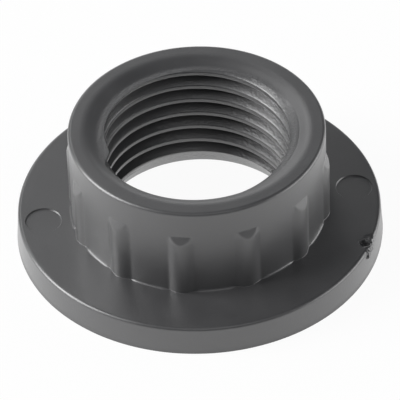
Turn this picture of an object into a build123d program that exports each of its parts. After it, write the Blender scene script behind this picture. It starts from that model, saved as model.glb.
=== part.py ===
from build123d import *
from math import sqrt
import os

# Thermowell nut, moulded in one piece.
# A round flange carries a collar with twelve half-round grip ribs, and a right-hand
# G 1/2 thread runs through both. The seat face lies on Z = 0, and the thread axis is Z.
# The bore is drawn plain at the crests of the thread, so it is the thread's minor diameter.
# The collar is sized from the bore by its wall, and the flange from the collar by its width.

# Heights, in millimetres
overall_height = 13.6
flange_thickness = 3.2

# Threaded bore: minor diameter, the chamfer at the seat and the sloped recess on top
bore_diameter = 19.0
seat_chamfer_width = 1.05
seat_chamfer_height = 1.85
recess_width = 1.65
recess_floor_width = 1.1
recess_depth = 0.4

# Collar
collar_wall = 3.65
collar_edge_width = 0.25
foot_corner_width = 0.2

# Flange: its width at the top, and how much further the seat edge stands out
flange_width = 5.6
flange_draft = 0.25
flange_edge_radius = 0.35

# Grip ribs: half-round, with ball ends that fade into the collar
rib_count = 12
rib_radius = 1.5
rib_projection = 0.42
rib_end_height = 10.5
rib_start_angle = -98.8
rib_corner_radius = 0.25

# Marks of the mould: two ejector pins on the flange, and the stub of the gate on its rim
ejector_count = 2
ejector_diameter = 3.8
ejector_edge_distance = 2.55
ejector_depth = 0.15
gate_width = 1.8
gate_height = 1.15
gate_projection = 0.3

# Places worked out from the sizes above
bore_radius = bore_diameter / 2
collar_radius = bore_radius + collar_wall
flange_top_radius = collar_radius + flange_width
flange_seat_radius = flange_top_radius + flange_draft
recess_floor = overall_height - recess_depth

foot_inner_radius = collar_radius - foot_corner_width
foot_bottom = flange_thickness - foot_corner_width
foot_reach = 3 * foot_corner_width

rib_pitch_angle = 360 / rib_count
rib_centre_radius = collar_radius + rib_projection - rib_radius
rib_ball_rise = sqrt(rib_radius**2 - (rib_radius - rib_projection) ** 2)
rib_straight_length = rib_end_height - rib_ball_rise - flange_thickness
length_tolerance = 0.001

# The mould marks stand halfway between two ribs
ejector_start_angle = rib_start_angle + 3.5 * rib_pitch_angle
ejector_centre_radius = flange_top_radius - ejector_edge_distance
gate_angle = rib_start_angle + 2.5 * rib_pitch_angle
gate_depth = gate_projection + flange_edge_radius

flange_top_plane = Plane.XY.offset(flange_thickness)

# One grip rib, standing on the flange: a round bar with a ball end
with BuildPart() as grip_rib:
    with BuildSketch(flange_top_plane):
        Circle(rib_radius)
    extrude(amount=rib_straight_length)
    with Locations(flange_top_plane.offset(rib_straight_length)):
        Sphere(rib_radius)

with BuildPart() as thermowell_nut:
    # Half section of the flange and collar, turned about the thread axis
    with BuildSketch(Plane.XZ):
        Polygon(
            (bore_radius, seat_chamfer_height),
            (bore_radius + seat_chamfer_width, 0),
            (flange_seat_radius, 0),
            (flange_top_radius, flange_thickness),
            (collar_radius, flange_thickness),
            (collar_radius, overall_height),
            (bore_radius + recess_width, overall_height),
            (bore_radius + recess_floor_width, recess_floor),
            (bore_radius, recess_floor),
            align=None,
        )
    revolve(axis=Axis.Z)

    with PolarLocations(rib_centre_radius, rib_count, rib_start_angle):
        add(grip_rib.part)

    # Inner corners along the sides of the ribs, which run on round their ends
    rib_side_edges = thermowell_nut.edges().filter_by(Axis.Z).filter_by(
        lambda edge: abs(edge.length - rib_straight_length) < length_tolerance
    )
    fillet(rib_side_edges, radius=rib_corner_radius)

    # Sloped corner at the foot of the collar, between the ribs
    with BuildSketch(Plane.XZ):
        Polygon(
            (foot_inner_radius, foot_bottom),
            (foot_inner_radius + foot_reach, foot_bottom),
            (foot_inner_radius, foot_bottom + foot_reach),
            align=None,
        )
    revolve(axis=Axis.Z)

    # Outer corners, rounded on the flange and sloped on the collar
    level_faces = thermowell_nut.faces().filter_by(Plane.XY).sort_by(Axis.Z)
    flange_face = level_faces[1]
    collar_face = level_faces[-1]
    fillet(flange_face.outer_wire().edges(), radius=flange_edge_radius)
    chamfer(collar_face.outer_wire().edges(), length=collar_edge_width)

    # Shallow discs left by the ejector pins
    with BuildSketch(flange_top_plane):
        with PolarLocations(ejector_centre_radius, ejector_count, ejector_start_angle):
            Circle(ejector_diameter / 2)
    extrude(amount=-ejector_depth, mode=Mode.SUBTRACT)

    # Stub of the gate, just under the rounded edge of the flange
    with BuildSketch(flange_top_plane.offset(-flange_edge_radius)):
        with PolarLocations(flange_top_radius + gate_projection, 1, gate_angle):
            Rectangle(gate_depth, gate_width, align=(Align.MAX, Align.CENTER))
    extrude(amount=-gate_height)

thermowell_nut.part.label = "thermowell_nut"

os.makedirs("parts", exist_ok=True)
export_step(thermowell_nut.part, "parts/thermowell_nut.step")
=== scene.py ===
import bpy
import bmesh
from math import atan2, cos, hypot, pi, radians, sin, sqrt, tan
from mathutils import Matrix, Vector, noise
from mathutils.geometry import delaunay_2d_cdt


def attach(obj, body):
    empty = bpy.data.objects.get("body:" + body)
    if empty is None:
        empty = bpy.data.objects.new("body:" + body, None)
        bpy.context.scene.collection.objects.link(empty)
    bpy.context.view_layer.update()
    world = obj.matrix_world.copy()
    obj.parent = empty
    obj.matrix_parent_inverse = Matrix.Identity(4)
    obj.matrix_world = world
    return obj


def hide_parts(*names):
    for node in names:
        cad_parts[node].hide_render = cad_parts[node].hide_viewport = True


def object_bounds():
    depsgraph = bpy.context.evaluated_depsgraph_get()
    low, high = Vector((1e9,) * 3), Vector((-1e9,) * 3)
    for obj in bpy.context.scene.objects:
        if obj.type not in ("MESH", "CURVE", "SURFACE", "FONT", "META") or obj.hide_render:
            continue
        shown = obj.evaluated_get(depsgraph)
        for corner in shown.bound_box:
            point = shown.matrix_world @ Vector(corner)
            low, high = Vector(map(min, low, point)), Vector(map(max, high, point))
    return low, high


# Thermowell nut: a round flange and a ribbed collar on one axis, with a thread through both.
# Lengths are in millimetres and angles in degrees until the mesh is made.
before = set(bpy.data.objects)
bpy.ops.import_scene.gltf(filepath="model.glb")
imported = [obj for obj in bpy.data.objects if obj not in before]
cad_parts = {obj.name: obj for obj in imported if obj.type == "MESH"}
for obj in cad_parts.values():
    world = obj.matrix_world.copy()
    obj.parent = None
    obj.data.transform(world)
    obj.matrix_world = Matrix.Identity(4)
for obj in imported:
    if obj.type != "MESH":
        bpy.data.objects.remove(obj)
cad_low, cad_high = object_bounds()

MM = 0.001

# Overall sizes, taken from the frame
HEIGHT = cad_high[2] / MM
SEAT_INSET = 0.015
SEAT_R = cad_high[0] / MM - SEAT_INSET

# Flange, collar, their rounded corners and the thin flash at the seat
FLANGE_T = 3.2
RIM_DRAFT = 0.205
RIM_FILLET = 0.35
CREST_R = 9.5
COLLAR_WALL = 3.65
COLLAR_FILLET = 0.36
SEAT_FLASH = 0.03

# Fillet at the collar's foot, which nearly fades out at the middle of each rib
FOOT_FILLET = 0.27
FOOT_SHARE_AT_RIBS = 0.15
FOOT_FADE_FROM = 5.5
FOOT_FADE_OVER = 3.0

# Narrow level bands beside the curved surfaces, which keep the shading of the flat ones clean
LIP = 0.04
FOOT_LIP = 0.03
RIM_LIP = 0.05
RIM_BAND = 0.12

# Grip ribs: half-round, and cut by a slope at their upper ends
RIB_COUNT = 12
RIB_R = 1.5
RIB_PROJECTION = 0.42
RIB_STRAIGHT_TOP = 9.58
RIB_END = 10.56
RIB_BLEND = 0.45
RIB_EDGE = 0.05
RIB_START = -98.8

# Right-hand G 1/2 thread: its major diameter, and the height of the top crest at azimuth 90
PITCH = 1.814
MAJOR_DIAMETER = 20.955
FLANK_ANGLE = 27.5
ROOT_ROUND = 0.137 * PITCH
CREST_ROUND = 0.2
THREAD_START = -152.0
TOP_CREST_Z = 12.77

# The top crest swells over its last degrees of turn, then ends
SWELL = 0.22
SWELL_HALF_HEIGHT = 0.75
SWELL_FROM = 325.0
SWELL_OVER = 22.0
END_FROM = 348.0
END_OVER = 11.5

# Chamfer at the seat and recess at the top
CHAMFER_R = 10.55
CHAMFER_H = 2.05
CHAMFER_EDGE = 0.06
GROOVE_END_Z = 1.25
GROOVE_END_RISE = 0.6
RECESS_R = 12.0
RECESS_FLOOR_R = 10.1
RECESS_DEPTH = 0.5
RECESS_BIAS = 1.35

# Discs left by the ejector pins
EJECTOR_R = 1.9
EJECTOR_INSET = 2.58
EJECTOR_DEPTH = 0.14
EJECTOR_CORNER = 0.03

# Torn stub of the gate, measured along the rim from its middle and down from the flange's top.
# The sizes that end in EDGE are the widths of soft edges.
STUB_LEFT = 0.68
STUB_RIGHT = 1.15
STUB_FOOT = 1.2
STUB_OUT = 0.13
STUB_COARSE = 0.1
STUB_FINE = 0.08
STUB_EDGE = 0.12
STUB_RIGHT_EDGE = 0.2
STUB_FOOT_EDGE = 0.25
SLIT_DEPTH = 0.36
SLIT_HALF_WIDTH = 0.11
SLIT_LENGTH = 0.92
SLIT_TOP = -0.22
SLIT_LEAN_OVER = 0.8

# Notch torn into the flange's top beside the stub
NOTCH_R = 18.03
NOTCH_TURN = 1.5
NOTCH_FACING = 28.0
NOTCH_BACK = 0.46
NOTCH_FRONT = 0.36
NOTCH_HALF_LENGTH = 0.56
NOTCH_DEPTH = 0.4
NOTCH_BACK_EDGE = 0.12
NOTCH_FRONT_EDGE = 0.42
NOTCH_END_EDGE = 0.2
NOTCH_BAND = 1.2
TORN_HALF_LENGTH = 0.75
TORN_DROP = 0.08
TORN_EDGE = 0.15
TORN_REACH = 0.6

# Sizes worked out from those above
COLLAR_R = CREST_R + COLLAR_WALL
RIM_TOP_R = SEAT_R - RIM_DRAFT
RIM_FLAT_R = RIM_TOP_R - RIM_FILLET
RIB_STEP = 360.0 / RIB_COUNT
RIB_CENTRE = COLLAR_R + RIB_PROJECTION - RIB_R
RIB_SLOPE = RIB_PROJECTION / (RIB_END - RIB_STRAIGHT_TOP)
ROOT_R = MAJOR_DIAMETER / 2
FLANK = radians(FLANK_ANGLE)
RECESS_FLOOR_Z = HEIGHT - RECESS_DEPTH
EJECTOR_CENTRE = RIM_TOP_R - EJECTOR_INSET
EJECTOR_AZ = RIB_START + 3.5 * RIB_STEP
GATE_AZ = RIB_START + 2.5 * RIB_STEP

# Heights in the thread's section, measured from the middle of a crest
ROOT_U = PITCH / 2 - ROOT_ROUND * cos(FLANK)
ROOT_EDGE_R = ROOT_R - ROOT_ROUND * (1 - sin(FLANK))
CREST_CORNER_U = ROOT_U - (ROOT_EDGE_R - CREST_R) * tan(FLANK)
CREST_FLAT_U = CREST_CORNER_U - CREST_ROUND * tan((pi / 2 - FLANK) / 2)
CREST_U = CREST_FLAT_U + CREST_ROUND * cos(FLANK)

# How finely the curves are divided, and the angle from which an edge is shaded sharp
BORE_COLUMNS = 240
TURNS_DOWN = 8
CORNER_STEPS = 7
EJECTOR_CORNERS = 64
RIB_COLUMNS = (0.9, 1.8, 2.6, 3.3, 3.9, 4.4, 4.9, 5.4, 5.9, 6.4, 7.0, 7.6, 8.4)
GAP_COLUMNS = (9.5, 12.0, 15.0, 18.0, 20.5)
RECESS_STEPS = (0.04, 0.12, 0.2, 0.27, 0.33, 0.39, 0.45, 0.5, 0.55, 0.6, 0.66, 0.73, 0.8, 0.88, 1.0)
SLOPE_STEPS = 12
NOTCH_STEPS = 16
SHARP_ANGLE = 42.0

# Rows on the sides, as heights above the ribs' ends and above the flange, and as depths below its top
ROWS_ABOVE_RIBS = (2.54, 1.74, 0.84, 0.54, 0.24, 0.1, 0.04)
ROWS_ABOVE_FLANGE = (6.2, 5.9, 5.4, 4.4, 3.4, 2.4, 1.5, 0.8, 0.4, 0.28)
RIM_ROWS = (0.45, 0.55, 0.65, 0.75, 0.85, 0.95, 1.05, 1.15, 1.25, 1.4, 1.8, 2.2, 2.6, 3.0)

# Rows of the bore's wall that come this close to the seat or to the recess join the loop there
SEAT_JOIN = 0.04
RECESS_JOIN = 0.012

# The rim's columns stand closer within the gate's marks and beside them, all in degrees
GATE_HALF_TURN = 4.5
GATE_SIDE_TURN = 2.0
GATE_STEP = 0.22
GATE_SIDE_STEP = 0.6
RIM_STEP = 1.5


# Small helpers
def lerp(a, b, t):
    return a + (b - a) * t


def smooth(t):
    """A soft step from 0 to 1."""
    t = min(1.0, max(0.0, t))
    return t * t * (3.0 - 2.0 * t)


def smooth_max(a, b, k):
    """The larger of two values, with a soft corner of the width k."""
    h = max(k - abs(a - b), 0.0) / k
    return max(a, b) + h * h * k * 0.25


def between(value, low, high, low_edge, high_edge):
    """1 between two values and 0 beyond them; each edge is soft over its own width."""
    return smooth((value - low) / low_edge) * smooth((high - value) / high_edge)


def waves(x, y, layer):
    """Smooth noise from about -1 to 1; each layer has a pattern of its own."""
    return noise.noise(Vector((x, y, layer)))


def turn_between(az, centre):
    """Degrees from the centre to az, the short way round."""
    return (az - centre + 180.0) % 360.0 - 180.0


def on_circle(radius, az):
    a = radians(az)
    return radius * cos(a), radius * sin(a)


class Shell:
    """Points and faces of one closed surface; faces drop repeated corners."""

    def __init__(self):
        self.points = []
        self.faces = []

    def add(self, x, y, z):
        self.points.append((x, y, z))
        return len(self.points) - 1

    def ring(self, azimuths, radius, height):
        """One loop about the thread's axis; radius and height are numbers or functions of azimuth."""
        loop = []
        for az in azimuths:
            r = radius(az) if callable(radius) else radius
            z = height(az) if callable(height) else height
            loop.append(self.add(*on_circle(r, az), z))
        return loop

    def face(self, *corners):
        kept = [c for i, c in enumerate(corners) if c != corners[i - 1]]
        if len(set(kept)) == len(kept) and len(kept) > 2:
            self.faces.append(tuple(kept))

    def bridge(self, first, second):
        """Faces between two loops of the same length."""
        for i in range(len(first)):
            j = (i + 1) % len(first)
            self.face(first[i], first[j], second[j], second[i])

    def inside(self, x, y, loop):
        hit = False
        for i in range(len(loop)):
            ax, ay = self.points[loop[i - 1]][:2]
            bx, by = self.points[loop[i]][:2]
            if (ay > y) != (by > y) and x < (bx - ax) * (y - ay) / (by - ay) + ax:
                hit = not hit
        return hit

    def fill(self, outer, holes=()):
        """A level face between one outer loop and the loops inside it."""
        ids = []
        edges = []
        for loop in (outer, *holes):
            base = len(ids)
            ids.extend(loop)
            edges.extend((base + i, base + (i + 1) % len(loop)) for i in range(len(loop)))
        flat = [Vector(self.points[i][:2]) for i in ids]
        verts, _, triangles, origins, _, _ = delaunay_2d_cdt(flat, edges, [], 0, 1e-7)
        back = [ids[origin[0]] for origin in origins]
        for corners in triangles:
            x = sum(verts[i].x for i in corners) / 3
            y = sum(verts[i].y for i in corners) / 3
            if self.inside(x, y, outer) and not any(self.inside(x, y, hole) for hole in holes):
                self.faces.append(tuple(back[i] for i in corners))


# Threaded bore
def thread_radius(u):
    """Radius of the thread's wall at the height u from the middle of a crest: flat, flank and round root."""
    u = abs(u)
    if u <= CREST_FLAT_U:
        return CREST_R
    if u <= CREST_U:
        return CREST_R + CREST_ROUND - sqrt(CREST_ROUND**2 - (u - CREST_FLAT_U) ** 2)
    if u < ROOT_U:
        return ROOT_EDGE_R - (ROOT_U - u) / tan(FLANK)
    return ROOT_R - ROOT_ROUND + sqrt(max(0.0, ROOT_ROUND**2 - (PITCH / 2 - u) ** 2))


def top_crest_radius(r, above, az):
    """The uppermost crest swells a little, then ends where the thread starts."""
    turned = az - THREAD_START
    swell = SWELL * smooth((turned - SWELL_FROM) / SWELL_OVER)
    ending = smooth((turned - END_FROM) / END_OVER)
    return lerp(r - swell * max(0.0, 1.0 - (above / SWELL_HALF_HEIGHT) ** 2), ROOT_R, ending)


def bore_radius(z, above, az):
    """Radius of the bore's wall at height z, which lies that far above this azimuth's top crest."""
    if above > PITCH / 2:
        r = ROOT_R
    else:
        r = thread_radius(above - PITCH * round(above / PITCH))
        if above > -PITCH / 2:
            r = top_crest_radius(r, above, az)
    if z < CHAMFER_H + CHAMFER_EDGE * 5:
        # The groove stops short of the seat's chamfer
        r = lerp(CREST_R, r, smooth((z - GROOVE_END_Z) / GROOVE_END_RISE))
        r = smooth_max(r, lerp(CHAMFER_R, CREST_R, z / CHAMFER_H), CHAMFER_EDGE)
    return r


def thread_rows():
    """Heights of the wall's rows above the top crest, from a root below the seat to one over the floor."""
    half = [
        CREST_FLAT_U * 0.6,
        CREST_FLAT_U,
        lerp(CREST_FLAT_U, CREST_U, 0.35),
        lerp(CREST_FLAT_U, CREST_U, 0.7),
        CREST_U,
        lerp(CREST_U, ROOT_U, 0.5),
        ROOT_U,
        lerp(ROOT_U, PITCH / 2, 0.35),
        lerp(ROOT_U, PITCH / 2, 0.7),
    ]
    one_turn = [-u for u in reversed(half)] + half + [PITCH / 2]
    rows = [PITCH * (0.5 - TURNS_DOWN)]
    for turn in range(1 - TURNS_DOWN, 2):
        rows.extend(turn * PITCH + u for u in one_turn)
    return rows, len(one_turn)


def bore_column(shell, az, rows):
    """Points up the wall at one azimuth, from the seat to the floor of the recess."""
    crest = TOP_CREST_Z + PITCH * (az - 90.0) / 360.0
    # The wall ends where the recess is just as high, found in a few rounds
    top = RECESS_FLOOR_Z
    for _ in range(6):
        top = recess_height(bore_radius(top, top - crest, az))
    low_point = shell.add(*on_circle(bore_radius(0.0, -crest, az), az), 0.0)
    top_point = shell.add(*on_circle(bore_radius(top, top - crest, az), az), top)
    column = []
    for above in rows:
        z = crest + above
        if z <= SEAT_JOIN:
            column.append(low_point)
        elif z >= top - RECESS_JOIN:
            column.append(top_point)
        else:
            column.append(shell.add(*on_circle(bore_radius(z, above, az), az), z))
    return column


def add_bore(shell, azimuths):
    """The threaded wall; returns the loops at the seat and at the floor of the recess."""
    rows, per_turn = thread_rows()
    columns = [bore_column(shell, az, rows) for az in azimuths]
    for left, right in zip(columns, columns[1:]):
        for k in range(len(rows) - 1):
            shell.face(left[k], right[k], right[k + 1], left[k + 1])
    # At the seam each row meets the one that is a pitch higher
    last, first = columns[-1], columns[0]
    for k in range(len(rows) - 1 - per_turn):
        shell.face(last[k], first[k + per_turn], first[k + per_turn + 1], last[k + 1])
    return [column[0] for column in columns], [column[-1] for column in columns]


# Recess round the thread's mouth
def recess_height(r):
    """A soft edge, a sloping wall and a level floor."""
    t = min(1.0, max(0.0, (RECESS_R - r) / (RECESS_R - RECESS_FLOOR_R)))
    return lerp(HEIGHT, RECESS_FLOOR_Z, smooth(t**RECESS_BIAS))


def add_recess(shell, azimuths, mouth):
    """From the thread's mouth out to the level top; returns the loop there."""
    previous = mouth
    for step in RECESS_STEPS:
        current = []
        for point, az in zip(mouth, azimuths):
            r = lerp(hypot(*shell.points[point][:2]), RECESS_R, step)
            current.append(shell.add(*on_circle(r, az), recess_height(r)))
        shell.bridge(previous, current)
        previous = current
    top_inner = shell.ring(azimuths, RECESS_R + LIP, HEIGHT)
    shell.bridge(previous, top_inner)
    return top_inner


# Collar and ribs
def collar_azimuths():
    """Columns close together on each rib and far apart between the ribs."""
    offsets = [-d for d in reversed(RIB_COLUMNS)] + [0.0, *RIB_COLUMNS, *GAP_COLUMNS]
    return [RIB_START + i * RIB_STEP + d for i in range(RIB_COUNT) for d in offsets]


def rib_offset(az):
    """Degrees from the middle of the nearest rib."""
    return (az - RIB_START + RIB_STEP / 2) % RIB_STEP - RIB_STEP / 2


def side_radius(az, z):
    """The collar's side with the half-round ribs, their soft corners and the slope at their ends."""
    d = radians(rib_offset(az))
    reach = RIB_R**2 - (RIB_CENTRE * sin(d)) ** 2
    if reach <= 0.0 or z >= RIB_END:
        return COLLAR_R
    rib = RIB_CENTRE * cos(d) + sqrt(reach)
    cut = COLLAR_R + (RIB_END - z) * RIB_SLOPE
    corner = smooth_max(COLLAR_R, rib, RIB_BLEND) - max(COLLAR_R, rib)
    fade = 1.0 - smooth((z - RIB_STRAIGHT_TOP) / (RIB_END - RIB_STRAIGHT_TOP))
    return max(COLLAR_R, -smooth_max(-rib, -cut, RIB_EDGE)) + corner * fade


def foot_flare(az, z):
    """The small fillet at the foot, which nearly fades out at the ribs."""
    share = smooth((abs(rib_offset(az)) - FOOT_FADE_FROM) / FOOT_FADE_OVER)
    size = FOOT_FILLET * lerp(FOOT_SHARE_AT_RIBS, 1.0, share)
    t = size - (z - FLANGE_T)
    if t <= 0.0:
        return 0.0
    return size - sqrt(max(0.0, size**2 - t**2))


def side_heights():
    """Rows down the collar's side, close together at the ribs' ends and at the foot."""
    heights = [RIB_END + rise for rise in ROWS_ABOVE_RIBS]
    heights += [lerp(RIB_END, RIB_STRAIGHT_TOP, i / SLOPE_STEPS) for i in range(SLOPE_STEPS + 3)]
    heights += [FLANGE_T + rise for rise in ROWS_ABOVE_FLANGE]
    heights += [FLANGE_T + FOOT_FILLET * (1 - sin(radians(a))) for a in (14, 28, 42, 55, 67, 79)]
    return heights + [FLANGE_T]


def add_collar(shell, top_inner):
    """The level top, its rounded edge and the ribbed side; returns the loop at the foot."""
    azimuths = collar_azimuths()
    top_outer = shell.ring(azimuths, COLLAR_R - COLLAR_FILLET - LIP, HEIGHT)
    shell.fill(top_outer, [top_inner])
    previous = top_outer
    for i in range(CORNER_STEPS + 1):
        t = radians(90.0 * i / CORNER_STEPS)
        r = COLLAR_R - COLLAR_FILLET * (1 - sin(t))
        current = shell.ring(azimuths, r, HEIGHT - COLLAR_FILLET * (1 - cos(t)))
        shell.bridge(previous, current)
        previous = current
    for z in side_heights():
        current = shell.ring(azimuths, lambda az: side_radius(az, z) + foot_flare(az, z), z)
        shell.bridge(previous, current)
        previous = current
    foot = []
    for point in previous:
        x, y, z = shell.points[point]
        outward = 1.0 + FOOT_LIP / hypot(x, y)
        foot.append(shell.add(x * outward, y * outward, z))
    shell.bridge(previous, foot)
    return foot


# Rim of the flange, with the torn stub of the gate
def rim_azimuths():
    """Columns round the rim, close together at the gate."""
    azimuths = []
    az = -180.0
    while az < 180.0 - 1e-6:
        azimuths.append(az)
        near = abs(turn_between(az, GATE_AZ)) - GATE_HALF_TURN
        az += GATE_STEP if near < 0.0 else GATE_SIDE_STEP if near < GATE_SIDE_TURN else RIM_STEP
    return azimuths


def stub_height(az, z):
    """How far the torn stub stands out of the rim, and how far the slit beside it goes in."""
    along = radians(turn_between(az, GATE_AZ)) * RIM_TOP_R
    down = FLANGE_T - z
    inside = between(along, -STUB_LEFT, STUB_RIGHT, STUB_EDGE, STUB_RIGHT_EDGE)
    inside *= smooth((STUB_FOOT - down) / STUB_FOOT_EDGE)
    torn = STUB_COARSE * waves(along * 2.6, z * 2.4, 3.0) + STUB_FINE * waves(along * 6.5, z * 6.0, 8.0)
    # The slit leans towards the stub's left side as it goes down, and is deepest at its foot
    slit_along = lerp(SLIT_TOP, -STUB_LEFT, down / SLIT_LEAN_OVER)
    slit = max(0.0, 1.0 - ((along - slit_along) / SLIT_HALF_WIDTH) ** 2)
    slit *= smooth((SLIT_LENGTH - down) / STUB_EDGE) * lerp(0.45, 1.0, smooth(down / 0.7))
    return inside * (STUB_OUT + torn) - SLIT_DEPTH * slit


def notch_drop(az, r):
    """How far the flange's top is torn down beside the stub: a hollow, and a rough face in front of it."""
    x, y = on_circle(r, az)
    middle_x, middle_y = on_circle(NOTCH_R, GATE_AZ + NOTCH_TURN)
    facing = radians(NOTCH_FACING)
    rough = waves(x * 6.0, y * 6.0, 5.0)
    across = (x - middle_x) * cos(facing) + (y - middle_y) * sin(facing) + 0.12 * rough
    along = (y - middle_y) * cos(facing) - (x - middle_x) * sin(facing)
    hollow = between(across, -NOTCH_BACK, NOTCH_FRONT, NOTCH_BACK_EDGE, NOTCH_FRONT_EDGE)
    hollow *= smooth((NOTCH_HALF_LENGTH - abs(along)) / NOTCH_END_EDGE)
    torn = smooth((across - NOTCH_FRONT) / TORN_EDGE)
    torn *= smooth((TORN_HALF_LENGTH - abs(along)) / NOTCH_END_EDGE)
    return NOTCH_DEPTH * hollow + TORN_DROP * (1.0 + rough) * torn


def seat_edge(az):
    """The ragged edge of the seat, from about -1 to 1, in long and short waves."""
    return 0.6 * waves(*on_circle(9.0, az), 1.7) + 0.4 * waves(*on_circle(31.0, az), 4.1)


def add_rim_loop(shell, azimuths, previous, r, z):
    """One loop of the rim, moved by the gate's marks; the stub grows out over the rounded edge."""
    weight = smooth((r - RIM_FLAT_R + 0.1) / 0.3)

    def radius(az):
        return r + weight * stub_height(az, z)

    def height(az):
        return z - notch_drop(az, r) if z > FLANGE_T - TORN_REACH else z

    current = shell.ring(azimuths, radius, height)
    shell.bridge(previous, current)
    return current


def add_rim(shell, mouth):
    """The flange's rounded edge, drafted rim and seat; returns the loop on the flange's top."""
    azimuths = rim_azimuths()

    # A narrow band of the level top, which is wide enough at the gate to hold the notch
    def reach(az):
        near = abs(turn_between(az, GATE_AZ)) - GATE_HALF_TURN
        return RIM_BAND + NOTCH_BAND * smooth((1.0 - near) / 1.5)

    flat_r = RIM_FLAT_R - RIM_LIP
    top = shell.ring(azimuths, lambda az: flat_r - reach(az), FLANGE_T)
    previous = top
    for i in range(1, NOTCH_STEPS + 1):
        back = 1 - i / NOTCH_STEPS
        current = shell.ring(
            azimuths,
            lambda az: flat_r - reach(az) * back,
            lambda az: FLANGE_T - notch_drop(az, flat_r - reach(az) * back),
        )
        shell.bridge(previous, current)
        previous = current

    for i in range(CORNER_STEPS + 1):
        t = radians(90.0 * i / CORNER_STEPS)
        r = RIM_TOP_R - RIM_FILLET * (1 - sin(t))
        previous = add_rim_loop(shell, azimuths, previous, r, FLANGE_T - RIM_FILLET * (1 - cos(t)))
    # Rows close together beside the stub, then far apart down to the seat
    for drop in RIM_ROWS:
        z = FLANGE_T - drop
        r = lerp(SEAT_R - SEAT_FLASH, RIM_TOP_R, z / (FLANGE_T - RIM_FILLET))
        previous = add_rim_loop(shell, azimuths, previous, r, z)

    # The seat's edge: how far in, how high and how ragged each loop is
    for inset, z, ragged in ((0.01, 0.09, 0.01), (0.0, 0.03, 0.012), (0.05, 0.0, 0.02)):
        current = shell.ring(azimuths, lambda az: SEAT_R - inset + ragged * seat_edge(az), z)
        shell.bridge(previous, current)
        previous = current
    seat = shell.ring(azimuths, SEAT_R - RIM_BAND, 0.0)
    shell.bridge(previous, seat)
    shell.fill(seat, [mouth])
    return top


# Shallow discs left by the ejector pins
def add_ejector_disc(shell, az):
    """One disc, sunk into the flange's top; returns its outline."""
    x, y = on_circle(EJECTOR_CENTRE, az)
    azimuths = [360.0 * i / EJECTOR_CORNERS for i in range(EJECTOR_CORNERS)]
    loops = []
    for inset, drop in (
        (-LIP, 0.0),
        (0.0, 0.0),
        (0.03, EJECTOR_CORNER),
        (0.045, EJECTOR_DEPTH - EJECTOR_CORNER),
        (0.08, EJECTOR_DEPTH),
        (0.13, EJECTOR_DEPTH),
    ):
        corners = [on_circle(EJECTOR_R - inset, corner_az) for corner_az in azimuths]
        loops.append([shell.add(x + cx, y + cy, FLANGE_T - drop) for cx, cy in corners])
    for outer, inner in zip(loops, loops[1:]):
        shell.bridge(outer, inner)
    shell.fill(loops[-1])
    return loops[0]


# The nut as one closed mesh
def nut_mesh():
    shell = Shell()
    azimuths = [THREAD_START + 360.0 * i / BORE_COLUMNS for i in range(BORE_COLUMNS)]
    mouth_low, mouth_top = add_bore(shell, azimuths)
    top_inner = add_recess(shell, azimuths, mouth_top)
    foot = add_collar(shell, top_inner)
    flange_top = add_rim(shell, mouth_low)
    discs = [add_ejector_disc(shell, az) for az in (EJECTOR_AZ, EJECTOR_AZ + 180.0)]
    shell.fill(flange_top, [foot, *discs])

    mesh = bpy.data.meshes.new("moulded_nut")
    mesh.from_pydata([tuple(c * MM for c in point) for point in shell.points], [], shell.faces)
    surface = bmesh.new()
    surface.from_mesh(mesh)
    bmesh.ops.dissolve_degenerate(surface, edges=surface.edges, dist=1e-8)
    bmesh.ops.recalc_face_normals(surface, faces=surface.faces)
    surface.to_mesh(mesh)
    surface.free()
    mesh.shade_smooth()
    mesh.set_sharp_from_angle(angle=radians(SHARP_ANGLE))
    return mesh


# Moulded black plastic: a rough skin under a smoother coat, with faint clouds and a fine grain
def noise_texture(nodes, scale, detail):
    texture = nodes.new("ShaderNodeTexNoise")
    texture.inputs["Scale"].default_value = scale
    texture.inputs["Detail"].default_value = detail
    return texture


def graded(nodes, links, value, inputs, outputs):
    """A value spread from one range to another, and held at its ends."""
    grade = nodes.new("ShaderNodeMapRange")
    grade.inputs["From Min"].default_value = inputs[0]
    grade.inputs["From Max"].default_value = inputs[1]
    grade.inputs["To Min"].default_value = outputs[0]
    grade.inputs["To Max"].default_value = outputs[1]
    links.new(value, grade.inputs["Value"])
    return grade.outputs["Result"]


def distance_from_axis(nodes, links, position):
    """How far a point of the surface lies from the thread's axis, in metres."""
    level = nodes.new("ShaderNodeVectorMath")
    level.operation = "MULTIPLY"
    level.inputs[1].default_value = (1, 1, 0)
    length = nodes.new("ShaderNodeVectorMath")
    length.operation = "LENGTH"
    links.new(position, level.inputs[0])
    links.new(level.outputs["Vector"], length.inputs[0])
    return length.outputs["Value"]


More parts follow.
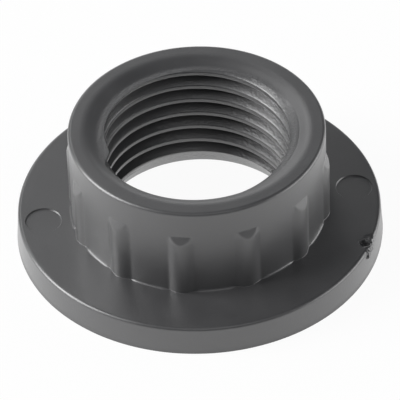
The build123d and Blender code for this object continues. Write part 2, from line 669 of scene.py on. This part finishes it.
def moulded_plastic():
    material = bpy.data.materials.new("black_moulded_plastic")
    material.use_nodes = True
    nodes = material.node_tree.nodes
    links = material.node_tree.links
    nodes.clear()
    out = nodes.new("ShaderNodeOutputMaterial")
    skin = nodes.new("ShaderNodeBsdfPrincipled")
    skin.inputs["IOR"].default_value = 1.65
    skin.inputs["Coat Weight"].default_value = 1.0
    skin.inputs["Coat Roughness"].default_value = 0.36
    skin.inputs["Coat IOR"].default_value = 1.6
    skin.inputs["Sheen Weight"].default_value = 0.5
    skin.inputs["Sheen Roughness"].default_value = 0.3
    links.new(skin.outputs["BSDF"], out.inputs["Surface"])
    place = nodes.new("ShaderNodeTexCoord")

    cloud_range = (0.3, 0.7)
    clouds = noise_texture(nodes, 260.0, 4.0)
    links.new(place.outputs["Object"], clouds.inputs["Vector"])
    colour = nodes.new("ShaderNodeValToRGB")
    dark, light = colour.color_ramp.elements
    dark.position = cloud_range[0]
    dark.color = (0.045, 0.045, 0.047, 1)
    light.position = cloud_range[1]
    light.color = (0.055, 0.055, 0.057, 1)
    links.new(clouds.outputs["Fac"], colour.inputs["Fac"])
    links.new(colour.outputs["Color"], skin.inputs["Base Color"])
    roughness = graded(nodes, links, clouds.outputs["Fac"], cloud_range, (0.4, 0.46))
    links.new(roughness, skin.inputs["Roughness"])

    grain = noise_texture(nodes, 4000.0, 3.0)
    links.new(place.outputs["Object"], grain.inputs["Vector"])
    bump = nodes.new("ShaderNodeBump")
    bump.inputs["Distance"].default_value = 0.06 * MM
    # The grain is strong in the bore and faint beyond it
    from_axis = distance_from_axis(nodes, links, place.outputs["Object"])
    bore_edge = (RECESS_FLOOR_R * MM, (RECESS_FLOOR_R + 0.5) * MM)
    strength = graded(nodes, links, from_axis, bore_edge, (0.75, 0.15))
    links.new(strength, bump.inputs["Strength"])
    links.new(grain.outputs["Fac"], bump.inputs["Height"])
    links.new(bump.outputs["Normal"], skin.inputs["Normal"])
    links.new(bump.outputs["Normal"], skin.inputs["Coat Normal"])
    return material


# White paper, which the camera and the reflections see as a bright, even ground
def either(nodes, links, first, second):
    larger = nodes.new("ShaderNodeMath")
    larger.operation = "MAXIMUM"
    links.new(first, larger.inputs[0])
    links.new(second, larger.inputs[1])
    return larger.outputs[0]


def white_paper():
    material = bpy.data.materials.new("white_paper")
    material.use_nodes = True
    nodes = material.node_tree.nodes
    links = material.node_tree.links
    nodes.clear()
    out = nodes.new("ShaderNodeOutputMaterial")
    matte = nodes.new("ShaderNodeBsdfDiffuse")
    matte.inputs["Color"].default_value = (0.92, 0.92, 0.92, 1)
    glow = nodes.new("ShaderNodeEmission")
    glow.inputs["Color"].default_value = (1, 1, 1, 1)
    glow.inputs["Strength"].default_value = 1.0
    rays = nodes.new("ShaderNodeLightPath")
    seen = either(nodes, links, rays.outputs["Is Camera Ray"], rays.outputs["Is Glossy Ray"])
    seen = either(nodes, links, seen, rays.outputs["Is Transmission Ray"])
    share = nodes.new("ShaderNodeMath")
    share.operation = "MULTIPLY"
    share.inputs[1].default_value = 0.95
    mix = nodes.new("ShaderNodeMixShader")
    links.new(seen, share.inputs[0])
    links.new(share.outputs[0], mix.inputs["Fac"])
    links.new(matte.outputs[0], mix.inputs[1])
    links.new(glow.outputs[0], mix.inputs[2])
    links.new(mix.outputs[0], out.inputs["Surface"])
    return material


# Floor, just under the seat face so that the two don't flicker
def add_floor():
    half = 0.3
    drop = -0.03 * MM
    corners = [(-half, -half, drop), (half, -half, drop), (half, half, drop), (-half, half, drop)]
    mesh = bpy.data.meshes.new("studio_floor")
    mesh.from_pydata(corners, [], [(0, 1, 2, 3)])
    mesh.materials.append(white_paper())
    floor = bpy.data.objects.new("studio_floor", mesh)
    bpy.context.scene.collection.objects.link(floor)


# Studio light
def add_world():
    world = bpy.data.worlds.new("studio")
    bpy.context.scene.world = world
    world.use_nodes = True
    nodes = world.node_tree.nodes
    links = world.node_tree.links
    nodes.clear()
    out = nodes.new("ShaderNodeOutputWorld")
    sky = nodes.new("ShaderNodeBackground")
    sky.inputs["Color"].default_value = (0.88, 0.93, 1.0, 1)
    sky.inputs["Strength"].default_value = 0.06
    links.new(sky.outputs[0], out.inputs["Surface"])


def add_softbox(name, azimuth, elevation, width, height, radiance):
    """A lamp that faces the nut from 0.8 m; sizes in metres."""
    distance = 0.8
    lamp = bpy.data.lights.new(name, "AREA")
    lamp.shape = "RECTANGLE"
    lamp.size = width
    lamp.size_y = height
    lamp.energy = radiance * width * height * pi
    box = bpy.data.objects.new(name, lamp)
    a = radians(azimuth)
    e = radians(elevation)
    way = Vector((cos(e) * cos(a), cos(e) * sin(a), sin(e)))
    box.location = way * distance
    box.rotation_euler = way.to_track_quat("Z", "Y").to_euler()
    box.visible_camera = False
    bpy.context.scene.collection.objects.link(box)


def add_lights():
    """The sky, and softboxes by azimuth, elevation, width, height and radiance."""
    add_world()
    add_softbox("softbox_left", 182.0, 29.0, 0.49, 0.66, 8.4)
    add_softbox("softbox_right", 5.0, 14.0, 0.92, 0.39, 3.3)
    add_softbox("softbox_back", 96.0, 17.0, 0.6, 0.33, 0.9)
    add_softbox("softbox_back_left", 118.0, 42.0, 0.4, 0.3, 1.7)
    add_softbox("softbox_front", 288.0, 58.0, 0.52, 0.46, 0.8)


# Camera: far away, a little rolled, and tilted up so that the nut sits low in the picture
def add_camera():
    pixels = 400.0
    focal_pixels = 4000.0
    pixels_below_middle = 26.4835
    elevation = radians(42.4224)
    roll = radians(-2.0447)
    distance = 415.84 * MM
    tilt = atan2(pixels_below_middle, focal_pixels)

    forward = Vector((0.0, cos(elevation), -sin(elevation)))
    level = Vector((1.0, 0.0, 0.0))
    upright = level.cross(forward)
    right = cos(roll) * level + sin(roll) * upright
    up = cos(roll) * upright - sin(roll) * level
    look = (forward * cos(tilt) + up * sin(tilt)).normalized()
    top = (up * cos(tilt) - forward * sin(tilt)).normalized()

    data = bpy.data.cameras.new("photo_camera")
    data.sensor_width = 36.0
    data.lens = data.sensor_width * focal_pixels / pixels
    data.clip_start = 0.05
    data.clip_end = 20.0
    camera = bpy.data.objects.new("photo_camera", data)
    turn = Matrix((right, top, -look)).transposed().to_4x4()
    camera.matrix_world = Matrix.Translation(forward * -distance) @ turn
    bpy.context.scene.collection.objects.link(camera)
    bpy.context.scene.camera = camera


# The nut in the frame
nut = bpy.data.objects.new("moulded_nut", nut_mesh())
nut.data.materials.append(moulded_plastic())
bpy.context.scene.collection.objects.link(nut)
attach(nut, "root")
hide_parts("thermowell_nut")

# The studio
add_floor()
add_lights()
add_camera()
bpy.context.scene.view_settings.view_transform = "Standard"
